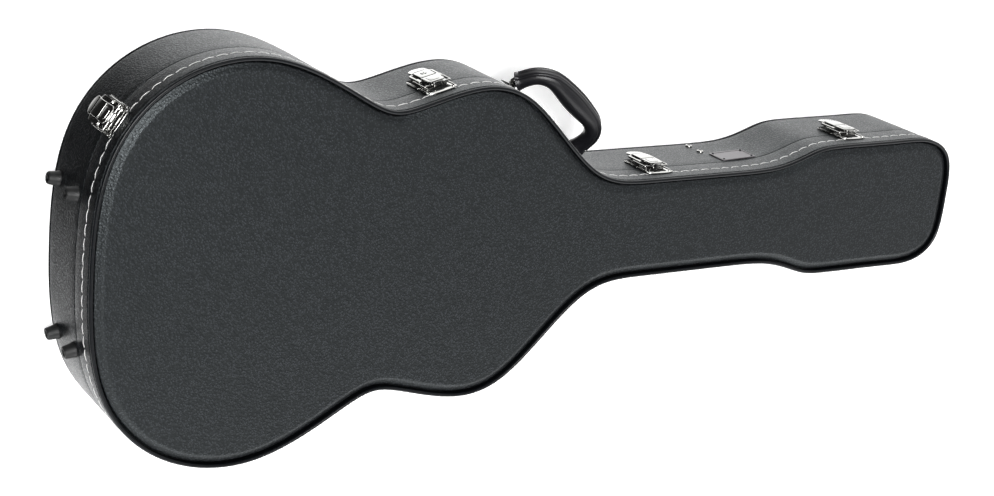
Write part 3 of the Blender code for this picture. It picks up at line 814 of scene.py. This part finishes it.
def base_mesh():
    """Body-side plate with beaded edges, ears and stubs, in wall axes about the seam."""
    half = 0.017
    outline_points = [(-half, -0.001), (half, -0.001), (half, -0.0255), (half - 0.004, -0.0295),
                      (-half + 0.004, -0.0295), (-half, -0.0255)]
    parts = [plate_mesh("base", outline_points, 0.0003, 0.0015, 0.0004, 2)]
    for side in (-1, 1):
        x_low, x_high = across(side, 0.0109, 0.0121)
        ear_low = (x_low, 0.001, PIVOT_UP - 0.004)
        parts.append(block_mesh("ear", ear_low, (x_high, PIVOT_OUT, PIVOT_UP + 0.001), 0.0002))
        ear = turned_mesh("ear", [(0, 0), (0.0019, 0), (0.0019, 0.0012), (0, 0.0012)], "X", 24)
        parts.append((ear, Matrix.Translation((x_low, PIVOT_OUT, PIVOT_UP))))
        stub = turned_mesh("stub", [(0, 0), (0.0013, 0), (0.0013, 0.0027), (0, 0.0027)], "X", 20)
        start = 0.0109 if side > 0 else -0.0136
        parts.append((stub, Matrix.Translation((start, PIVOT_OUT, PIVOT_UP))))
        x_low, x_high = across(side, 0.0150, 0.0164)
        parts.append(block_mesh("bead", (x_low, 0.001, -0.0245), (x_high, 0.0022, -0.0018), 0.0005, 2))
    return joined("latch_base", parts)


def keeper_mesh():
    """Lid-side plate: arched end, a window in front of the bail's hook, and the ledge it pulls on."""
    half, low, shoulder = 0.017, 0.001, 0.0200
    arch = [(half * math.cos(math.radians(a)), shoulder + 0.0035 * math.sin(math.radians(a)))
            for a in range(12, 169, 12)]
    outline_points = [(-half, low), (half, low), (half, shoulder)] + arch + [(-half, shoulder)]
    sheet = plate_mesh("keeper", outline_points, 0.0003, 0.0015, 0.0004, 2)
    window = block_mesh("window", (-0.0098, -0.001, 0.0102), (0.0098, 0.003, 0.0168), 0)
    sheet = cut_mesh(sheet, [window])
    parts = [sheet, block_mesh("ledge", (-0.012, 0.001, 0.0065), (0.012, 0.0062, LEDGE_UP), 0.0005, 3),
             block_mesh("lip", (-0.012, 0.001, 0.0030), (0.012, 0.0030, 0.0070), 0.0008, 3)]
    for side in (-1, 1):
        x_low, x_high = across(side, 0.0150, 0.0164)
        parts.append(block_mesh("bead", (x_low, 0.001, 0.0018), (x_high, 0.0022, 0.0175), 0.0005, 2))
    return joined("latch_keeper", parts)


def eyelet_mesh():
    """Hollow rivet, open at its head."""
    section = [(0, -0.0006), (0.0021, -0.0006), (0.0021, 0.0), (0.0019, 0.0006), (0.0014, 0.0008),
               (0.0010, 0.0005), (0.0009, -0.0004), (0, -0.0004)]
    return turned_mesh("eyelet", section, segments=24)


def bail_mesh():
    """Wire loop about its own pivot, under a pressed cover with a hooked nose."""
    bar = LEDGE_UP + 0.0003 + WIRE_RADIUS - BAIL_UP
    low, high = COVER_LOW - BAIL_UP, bar + WIRE_RADIUS
    half = [(0.0126, 0, 0), (0.0152, 0, 0), (0.0152, 0, bar)]
    corners = [(-x, y, z) for x, y, z in half] + half[::-1]
    parts = [tube_mesh("wire", rounded_path(corners, 0.0016), WIRE_RADIUS, sides=14)]
    cut = 0.0028
    plan = [(-COVER_HALF, low), (COVER_HALF, low), (COVER_HALF, high - cut), (COVER_HALF - cut, high),
            (-COVER_HALF + cut, high), (-COVER_HALF, high - cut)]
    parts.append(plate_mesh("cover", plan, 0.0023, 0.0041, 0.0007, 3))
    parts.append(plate_mesh("panel", [(x * 0.62, low + 0.003 + (z - low) * 0.62) for x, z in plan],
                            0.0036, 0.0045, 0.0003, 2))
    reach = COVER_HALF - cut
    parts.append(block_mesh("front", (-reach, -0.0004, high - 0.0018), (reach, 0.0032, high - 0.0001),
                            0.0005, 2))
    parts.append(block_mesh("nose", (-0.0050, -0.0030, high - 0.0021), (0.0050, 0.0030, high + 0.0011),
                            0.0010, 4))
    return joined("latch_bail", parts)


def add_latches():
    lever, base, keeper, bail = lever_mesh(), base_mesh(), keeper_mesh(), bail_mesh()
    # Painted shade: flat dark sheets under the lever, in the thumb tab's slot, on the base plate under the
    # lever and behind the keeper's window, and dark discs in the eyelets' holes.
    under = block_mesh("under", (-0.0119, 0.0004, -0.0195), (0.0119, 0.0011, -0.0050), 0)
    slot = (block_mesh("slot", TAB_SLOT[0], TAB_SLOT[1] - Vector((0, 0.0020, 0)), 0), TAB_CURL)
    inside = joined("inside", [under, slot])
    floor = block_mesh("floor", (-0.0146, 0.0014, -0.0285), (0.0146, 0.0019, -0.0020), 0)
    window = [block_mesh("window_shade", (-0.0096, 0.00035, 0.0104), (0.0096, 0.0006, 0.0166), 0)]
    eyelets = []
    hole = turned_mesh("hole", [(0, -0.0003), (0.0010, -0.0003), (0.0010, 0.0), (0, 0.0)], segments=16)
    for side in (-1, 1):
        corner = Matrix.Translation((side * 0.0132, 0.0015, 0.0192))
        eyelets.append((eyelet_mesh(), corner))
        window.append((hole, corner))
    eyelets, window = joined("eyelets", eyelets), joined("window", window)
    for number in range(1, 5):
        pivot = joint_frame(f"latch_{number}_lift")
        seam = pivot @ Matrix.Translation((0, -PIVOT_OUT, -PIVOT_UP))
        hook = joint_frame(f"latch_{number}_hook")
        prefix = f"latch_{number}"
        lever_body, bail_body = f"latch_lever_{number}", f"latch_bail_{number}"
        show(f"{prefix}_lever_press", lever, CHROME, lever_body, [f"{prefix}_lever"], pivot)
        # The dark pieces that follow are painted shade under the lever, on the base and behind the keeper's
        # window.
        show(f"{prefix}_lever_painted_shade", inside, PAINTED_SHADE, lever_body, (), pivot)
        show(f"{prefix}_base_press", base, CHROME, "case_body", [f"{prefix}_base"], seam)
        show(f"{prefix}_base_painted_shade", floor, PAINTED_SHADE, "case_body", (), seam)
        show(f"{prefix}_keeper_press", keeper, CHROME, "lid", [f"{prefix}_keeper"], seam)
        show(f"{prefix}_bail_wire", bail, CHROME, bail_body, [f"{prefix}_bail"], hook)
        show(f"{prefix}_window", window, PAINTED_SHADE, "lid", (), seam)
        show(f"{prefix}_eyelets", eyelets, CHROME, "lid", (), seam)
    lock = turned_mesh("lock", [(0, 0), (0.0034, 0), (0.0034, 0.0005), (0.0031, 0.0008), (0, 0.0008)])
    slot = block_mesh("key", (-0.0005, 0.0002, -0.0018), (0.0005, 0.002, 0.0018), 0)
    place = joint_frame("latch_2_lift") @ Matrix.Translation((0, 0.0040, -0.0125))
    show("latch_2_lock", cut_mesh(lock, [slot]), CHROME, "latch_lever_2", (), place)


# Hinges -----------------------------------------------------------------------

BARREL_OUT = 0.004


def add_hinges():
    joint = JOINTS["lid_hinge"]
    along = Vector(joint["axis"]).normalized()
    outward = (along.y, -along.x)
    half, skin = 0.020, 0.0012

    def leaf(knuckles, low, high, web_low, web_high, side):
        corner = 0.004
        far = high if side > 0 else low
        near = low if side > 0 else high
        shape = [(-half, near), (-half, far - side * corner), (-half + corner, far), (half - corner, far),
                 (half, far - side * corner), (half, near)]
        parts = [plate_mesh("leaf", shape, 0.0003, 0.0003 + skin, 0.0003, 2)]
        for start, end in knuckles:
            parts.append(block_mesh("web", (start, 0.0005, web_low), (end, BARREL_OUT, web_high), 0.0002))
            ring = [(0.0018, start), (0.0026, start), (0.0028, start + 0.0003), (0.0028, end - 0.0003),
                    (0.0026, end), (0.0018, end), (0.0018, start)]
            parts.append((turned_mesh("knuckle", ring, "X", 28), Matrix.Translation((0, BARREL_OUT, 0))))
        screw_up = (near + far) / 2 + side * 0.003
        for spot in (-0.012, 0.012):
            parts.append((screw_mesh(0.0021), Matrix.Translation((spot, 0.0003 + skin, screw_up))))
        return joined("leaf", parts)

    body_leaf = leaf([(-0.0069, 0.0069)], -0.022, -0.0032, -0.0060, 0.0, -1)
    lid_leaf = leaf([(-half, -0.0072), (0.0072, half)], 0.0032, 0.022, 0.0, 0.0060, 1)
    pin = turned_mesh("pin", [(0, -0.0205), (0.0010, -0.0205), (0.0015, -0.0201), (0.0015, 0.0201),
                              (0.0010, 0.0205), (0, 0.0205)], "X", 24)
    for number in range(1, 4):
        low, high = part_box(f"hinge_{number}_pin")
        middle = (low + high) / 2
        frame_here = upright_frame(middle, outward, SEAM)
        wall = frame_here @ Matrix.Translation((0, -BARREL_OUT, 0))
        prefix = f"hinge_{number}"
        show(f"{prefix}_body_press", body_leaf, CHROME, "case_body", [f"{prefix}_body_leaf"], wall)
        show(f"{prefix}_lid_press", lid_leaf, CHROME, "lid", [f"{prefix}_lid_leaf"], wall)
        show(f"{prefix}_pin_turned", pin, CHROME, "case_body", [f"{prefix}_pin"], frame_here)


# Handle -----------------------------------------------------------------------

HANDLE_LEAN = math.radians(38)
BRACKET_SPREAD = 0.0578
BRACKET_HALF = 0.0095
BRACKET_HALF_HEIGHT = 0.0085
EYE_OUT = 0.0058
EYE_HALF = 0.0036
RING_RADIUS = 0.0013
RING_RISE = 0.0100
RING_HALF = 0.0054
COLLAR = 0.0045
SEAM_GROOVE = 0.0007
GROOVE_AWAY = 0.0050
GROOVE_WIDTH = 0.0008
# The seam stops near the grip's ends, beyond this distance from the grip's middle.
COLLAR_FROM = 0.050
# Half of the grip's centre line: distance from the middle, height over the axis, radius.
GRIP_LINE = (
    (0.000, 0.0383, 0.0129), (0.022, 0.0383, 0.0109), (0.0377, 0.0378, 0.0094), (0.0524, 0.0275, 0.0085),
    (0.0558, 0.0120, 0.0085), (0.0567, 0.0080, 0.0091), (0.0578, 0.0045, 0.0108),
)
# Section of the moulding's seam: distance across it, height over the grip.
SEAM_SECTION = (
    (-0.0042, -0.0016), (-0.0042, 0.0006), (-0.0036, 0.0013), (-0.0019, 0.0013), (-0.0012, 0.0003),
    (0.0012, 0.0003), (0.0019, 0.0013), (0.0036, 0.0013), (0.0042, 0.0006), (0.0042, -0.0016),
)


def grip_stations(count=10):
    """Places, outward directions and radii along the grip, from a B-spline through its control points."""
    line = [Vector((-x, rise, radius)) for x, rise, radius in GRIP_LINE[:0:-1]]
    line += [Vector(row) for row in GRIP_LINE]
    line = [line[0]] * 2 + line + [line[-1]] * 2
    spots = []
    for a, b, c, d in zip(line, line[1:], line[2:], line[3:]):
        for k in range(count):
            spots.append(spline_point(a, b, c, d, k / count))
    spots.append(line[-1])
    found = []
    for k, spot in enumerate(spots):
        step = spots[min(k + 1, len(spots) - 1)] - spots[max(k - 1, 0)]
        found.append((spot, Vector((-step.y, step.x)).normalized(), spot.z))
    return found


def bent_bar(name, rows):
    """Closed bar from rows of points, all rows of one length, capped at both ends."""
    work = bmesh.new()
    rings = [[work.verts.new(point) for point in row] for row in rows]
    for low, high in zip(rings, rings[1:]):
        for k in range(len(low)):
            n = (k + 1) % len(low)
            work.faces.new((low[k], low[n], high[n], high[k]))
    work.faces.new(rings[0])
    work.faces.new(rings[-1])
    return mesh_of(work, name, 45)


def grip_mesh():
    """Round grip, grooved beside its outer seam, with softened ends."""
    sides = 96
    found = grip_stations()
    rows = []
    for number, (spot, out, radius) in enumerate(found):
        from_end = min(number, len(found) - 1 - number)
        reach = radius - (0.0012, 0.0004, 0.0001, 0.0)[min(from_end, 3)]
        ring = []
        for s in range(sides):
            angle = 2 * math.pi * s / sides
            away, outward = abs(reach * math.sin(angle)), math.cos(angle) > 0
            dip = math.exp(-((away - GROOVE_AWAY) / GROOVE_WIDTH) ** 2)
            deep = reach - (SEAM_GROOVE * dip if outward else 0.0)
            ring.append((spot.x + out.x * deep * math.cos(angle), spot.y + out.y * deep * math.cos(angle),
                         deep * math.sin(angle)))
        rows.append(ring)
    return bent_bar("grip", rows)


def seam_mesh():
    """Raised double seam of the moulding, along the outside of the grip."""
    rows = []
    for spot, out, radius in grip_stations():
        if abs(spot.x) > COLLAR_FROM and spot.y < GRIP_LINE[-1][1] + COLLAR:
            continue
        rows.append([(spot.x + out.x * (radius + height), spot.y + out.y * (radius + height), away)
                     for away, height in SEAM_SECTION])
    return bent_bar("seam", rows)


def add_handle():
    axes = joint_frame("handle_swing")
    lean = axes @ Matrix.Rotation(HANDLE_LEAN, 4, "X")
    show("grip_moulding", grip_mesh(), MOULDING, "handle", ["handle_grip"], lean)
    show("grip_seam", seam_mesh(), MOULDING, "handle", (), lean)
    half = [(RING_HALF, 0, 0), (RING_HALF, RING_RISE, 0)]
    corners = half + [(-x, y, z) for x, y, z in half[::-1]]
    ring = tube_mesh("ring", rounded_path(corners, 0.0028, closed=True), RING_RADIUS, closed=True, sides=14)
    side, rise = BRACKET_HALF, BRACKET_HALF_HEIGHT
    sheet = plate_mesh("bracket", [(-side, -rise), (side, -rise), (side, rise), (-side, rise)],
                       -EYE_OUT, -EYE_OUT + 0.0015, 0.0004, 2)
    post_half = EYE_HALF - 0.0004
    post = block_mesh("post", (-post_half, -EYE_OUT + 0.0007, -0.0025), (post_half, 0, 0.0025), 0.0005, 2)
    eye = [(0.0018, -EYE_HALF), (0.0029, -EYE_HALF), (0.0032, -EYE_HALF + 0.0003),
           (0.0032, EYE_HALF - 0.0003), (0.0029, EYE_HALF), (0.0018, EYE_HALF), (0.0018, -EYE_HALF)]
    parts = [sheet, post, turned_mesh("eye", eye, "X", 28)]
    for up in (-0.0058, 0.0058):
        parts.append((screw_mesh(0.0019), Matrix.Translation((0, -EYE_OUT + 0.0015, up))))
    bracket = joined("bracket", parts)
    for number, side in ((1, -1), (2, 1)):
        shift = Matrix.Translation((side * BRACKET_SPREAD, 0, 0))
        show(f"ring_{number}_wire", ring, CHROME, "handle", [f"handle_ring_{number}"],
             lean @ shift)
        show(f"bracket_{number}_press", bracket, CHROME, "case_body", [f"handle_bracket_{number}"],
             axes @ shift)


# Feet, plate and screws -------------------------------------------------------

def add_small_parts():
    length = 0.012
    section = [(0, 0.0003), (0.0078, 0.0003), (0.0080, 0.0009), (0.0078, 0.0017), (0.0072, 0.0028),
               (0.0064, 0.0100), (0.0061, 0.0112), (0.0055, length), (0.0040, length),
               (0.0036, length - 0.0004), (0.0034, length - 0.005), (0, length - 0.005)]
    foot = turned_mesh("foot", section, segments=40)
    for number in range(1, 5):
        at = wall_place(f"foot_{number}")
        show(f"foot_{number}_rubber", foot, RUBBER, "case_body", [f"foot_{number}"], at)
        # A dark screw deep in the foot's hole stands for the shade at the hole's bottom: painted shade.
        sunk = at @ Matrix.Translation((0, length - 0.0049, 0))
        show(f"foot_{number}_screw", screw_mesh(0.0029), PAINTED_SHADE, "case_body", (), sunk)

    at = wall_place("blank_plate", 0.0003)
    corner = 0.003
    half_x, half_z = 0.0235, 0.0145
    rounded = []
    for sx, sz, start in ((1, 1, 0), (-1, 1, 90), (-1, -1, 180), (1, -1, 270)):
        rounded += arc((sx * (half_x - corner), sz * (half_z - corner)), corner, start, start + 90, 5)
    sheet = plate_mesh("plate", rounded, 0.0, 0.0014, 0.0004, 2)
    border = [(x * 0.90, z * 0.84) for x, z in rounded]
    sunk = plate_mesh("field", border, 0.0011, 0.003, 0)
    show("plate_sheet", cut_mesh(sheet, [sunk]), PLATE, "case_body", ["blank_plate"], at)
    # The pins at the plate's corners are drawn in the flat dark painted-shade material.
    pins = [(screw_mesh(0.0013, cross=False), at @ Matrix.Translation((sx * 0.0198, 0.0011, sz * 0.0108)))
            for sx in (-1, 1) for sz in (-1, 1)]
    show("plate_pins", joined("plate_pins", pins), PAINTED_SHADE, "case_body")

    for number in (1, 2):
        at = wall_place(f"wall_screw_{number}", 0.0009)
        show(f"wall_screw_{number}_head", screw_mesh(0.0040), CHROME, "case_body",
             [f"wall_screw_{number}"], at)


# Stage ------------------------------------------------------------------------

class WorldNodes:
    """Small helper that adds value nodes to the world's node tree."""

    def __init__(self, world):
        world.use_nodes = True
        self.tree = world.node_tree
        place = self.tree.nodes.new("ShaderNodeTexCoord").outputs["Generated"]
        split = self.tree.nodes.new("ShaderNodeSeparateXYZ")
        self.tree.links.new(place, split.inputs[0])
        self.place = place
        self.x, self.y, self.z = split.outputs

    def ramp(self, value, low, high, first, last):
        """Value carried smoothly from first at low to last at high."""
        node = self.tree.nodes.new("ShaderNodeMapRange")
        node.interpolation_type = "SMOOTHSTEP"
        for name, number in (("From Min", low), ("From Max", high), ("To Min", first), ("To Max", last)):
            node.inputs[name].default_value = number
        self.tree.links.new(value, node.inputs["Value"])
        return node.outputs["Result"]

    def join(self, operation, first, second):
        node = self.tree.nodes.new("ShaderNodeMath")
        node.operation = operation
        for socket, source in zip(node.inputs, (first, second)):
            if isinstance(source, float):
                socket.default_value = source
            else:
                self.tree.links.new(source, socket)
        return node.outputs[0]

    def towards(self, direction):
        """Cosine of the angle to a direction."""
        node = self.tree.nodes.new("ShaderNodeVectorMath")
        node.operation = "DOT_PRODUCT"
        node.inputs[1].default_value = Vector(direction).normalized()
        self.tree.links.new(self.place, node.inputs[0])
        return node.outputs["Value"]


# Brightness of each part of the studio: the lamp in watts, the rest as emission strengths.
STUDIO = {
    "hinge_far": 2.3, "hinge_near": 0.15, "handle": 0.1, "head": 0.75, "softbox": 14.0,
    "above": 0.02, "low": 2.1, "low_patch": 2.3, "lamp": 3.0, "floor": 0.45,
}
CAMERA_LENS = 69.34
CAMERA_PLACE = (-1.129, 0.631, 1.701)
CAMERA_FORWARD = (0.517, -0.319, -0.795)
CAMERA_UP = (0.087, 0.943, -0.322)
LAMP_PLACE = (-0.4, 1.4, 2.4)
LAMP_SIZE = 1.6
FLOOR_HALF = 12


def studio_world():
    """Soft studio: bright towards the head and the hinges, dark at the butt, a softbox above it."""
    world = bpy.data.worlds.new("studio")
    w = WorldNodes(world)
    high_parts = [
        w.ramp(w.y, -0.75, -0.42, STUDIO["hinge_far"], 0.0),
        w.ramp(w.y, -0.50, -0.28, STUDIO["hinge_near"], 0.0),
        w.ramp(w.y, 0.15, 0.45, 0.0, STUDIO["handle"]),
        w.ramp(w.x, 0.52, 0.72, 0.0, STUDIO["head"]),
        w.ramp(w.towards((-0.24, 0.18, 0.95)), 0.94, 0.985, 0.0, STUDIO["softbox"]),
    ]
    high_side = STUDIO["above"]
    for part in high_parts:
        high_side = w.join("ADD", part, high_side)
    low_side = w.join("MULTIPLY", w.ramp(w.x, -0.27, 0.27, 0.01, 1.0), w.ramp(w.y, -0.75, -0.45, 0.10, 1.0))
    low_side = w.join("MULTIPLY", low_side, w.ramp(w.x, 0.45, 0.75, STUDIO["low"], STUDIO["low"] * 0.76))
    patch = w.ramp(w.towards((-0.06, -0.54, -0.85)), 0.94, 0.99, 0.0, STUDIO["low_patch"])
    low_side = w.join("ADD", low_side, patch)
    share = w.ramp(w.z, -0.06, 0.06, 0.0, 1.0)
    rest = w.join("SUBTRACT", 1.0, share)
    strength = w.join("ADD", w.join("MULTIPLY", high_side, share), w.join("MULTIPLY", low_side, rest))
    background = w.tree.nodes["Background"]
    background.inputs["Color"].default_value = (1, 1, 1, 1)
    w.tree.links.new(strength, background.inputs["Strength"])
    return world


def add_stage():
    work = bmesh.new()
    bmesh.ops.create_grid(work, x_segments=1, y_segments=1, size=FLOOR_HALF)
    floor = bpy.data.objects.new("floor", mesh_of(work, "floor"))
    bpy.context.scene.collection.objects.link(floor)
    floor.data.materials.append(floor_material())
    floor.visible_glossy = False
    bpy.context.scene.world = studio_world()

    light = bpy.data.lights.new("key", "AREA")
    light.shape = "RECTANGLE"
    light.size, light.size_y = LAMP_SIZE, LAMP_SIZE
    light.energy = STUDIO["lamp"]
    lamp = bpy.data.objects.new("key", light)
    lamp.location = LAMP_PLACE
    lamp.rotation_euler = (-lamp.location).to_track_quat("-Z", "Y").to_euler()
    bpy.context.scene.collection.objects.link(lamp)

    camera = bpy.data.cameras.new("camera")
    camera.lens = CAMERA_LENS
    camera.sensor_width = 36
    camera.sensor_fit = "HORIZONTAL"
    holder = bpy.data.objects.new("camera", camera)
    forward = Vector(CAMERA_FORWARD).normalized()
    up = Vector(CAMERA_UP)
    right = forward.cross(up).normalized()
    up = right.cross(forward)
    holder.matrix_world = Matrix((right, up, -forward)).transposed().to_4x4()
    holder.location = CAMERA_PLACE
    bpy.context.scene.collection.objects.link(holder)
    bpy.context.scene.camera = holder
    bpy.context.scene.view_settings.view_transform = "Standard"


add_stage()
add_shell()
add_stitches()
add_lip()
add_linings()
add_store()
add_latches()
add_hinges()
add_handle()
add_small_parts()
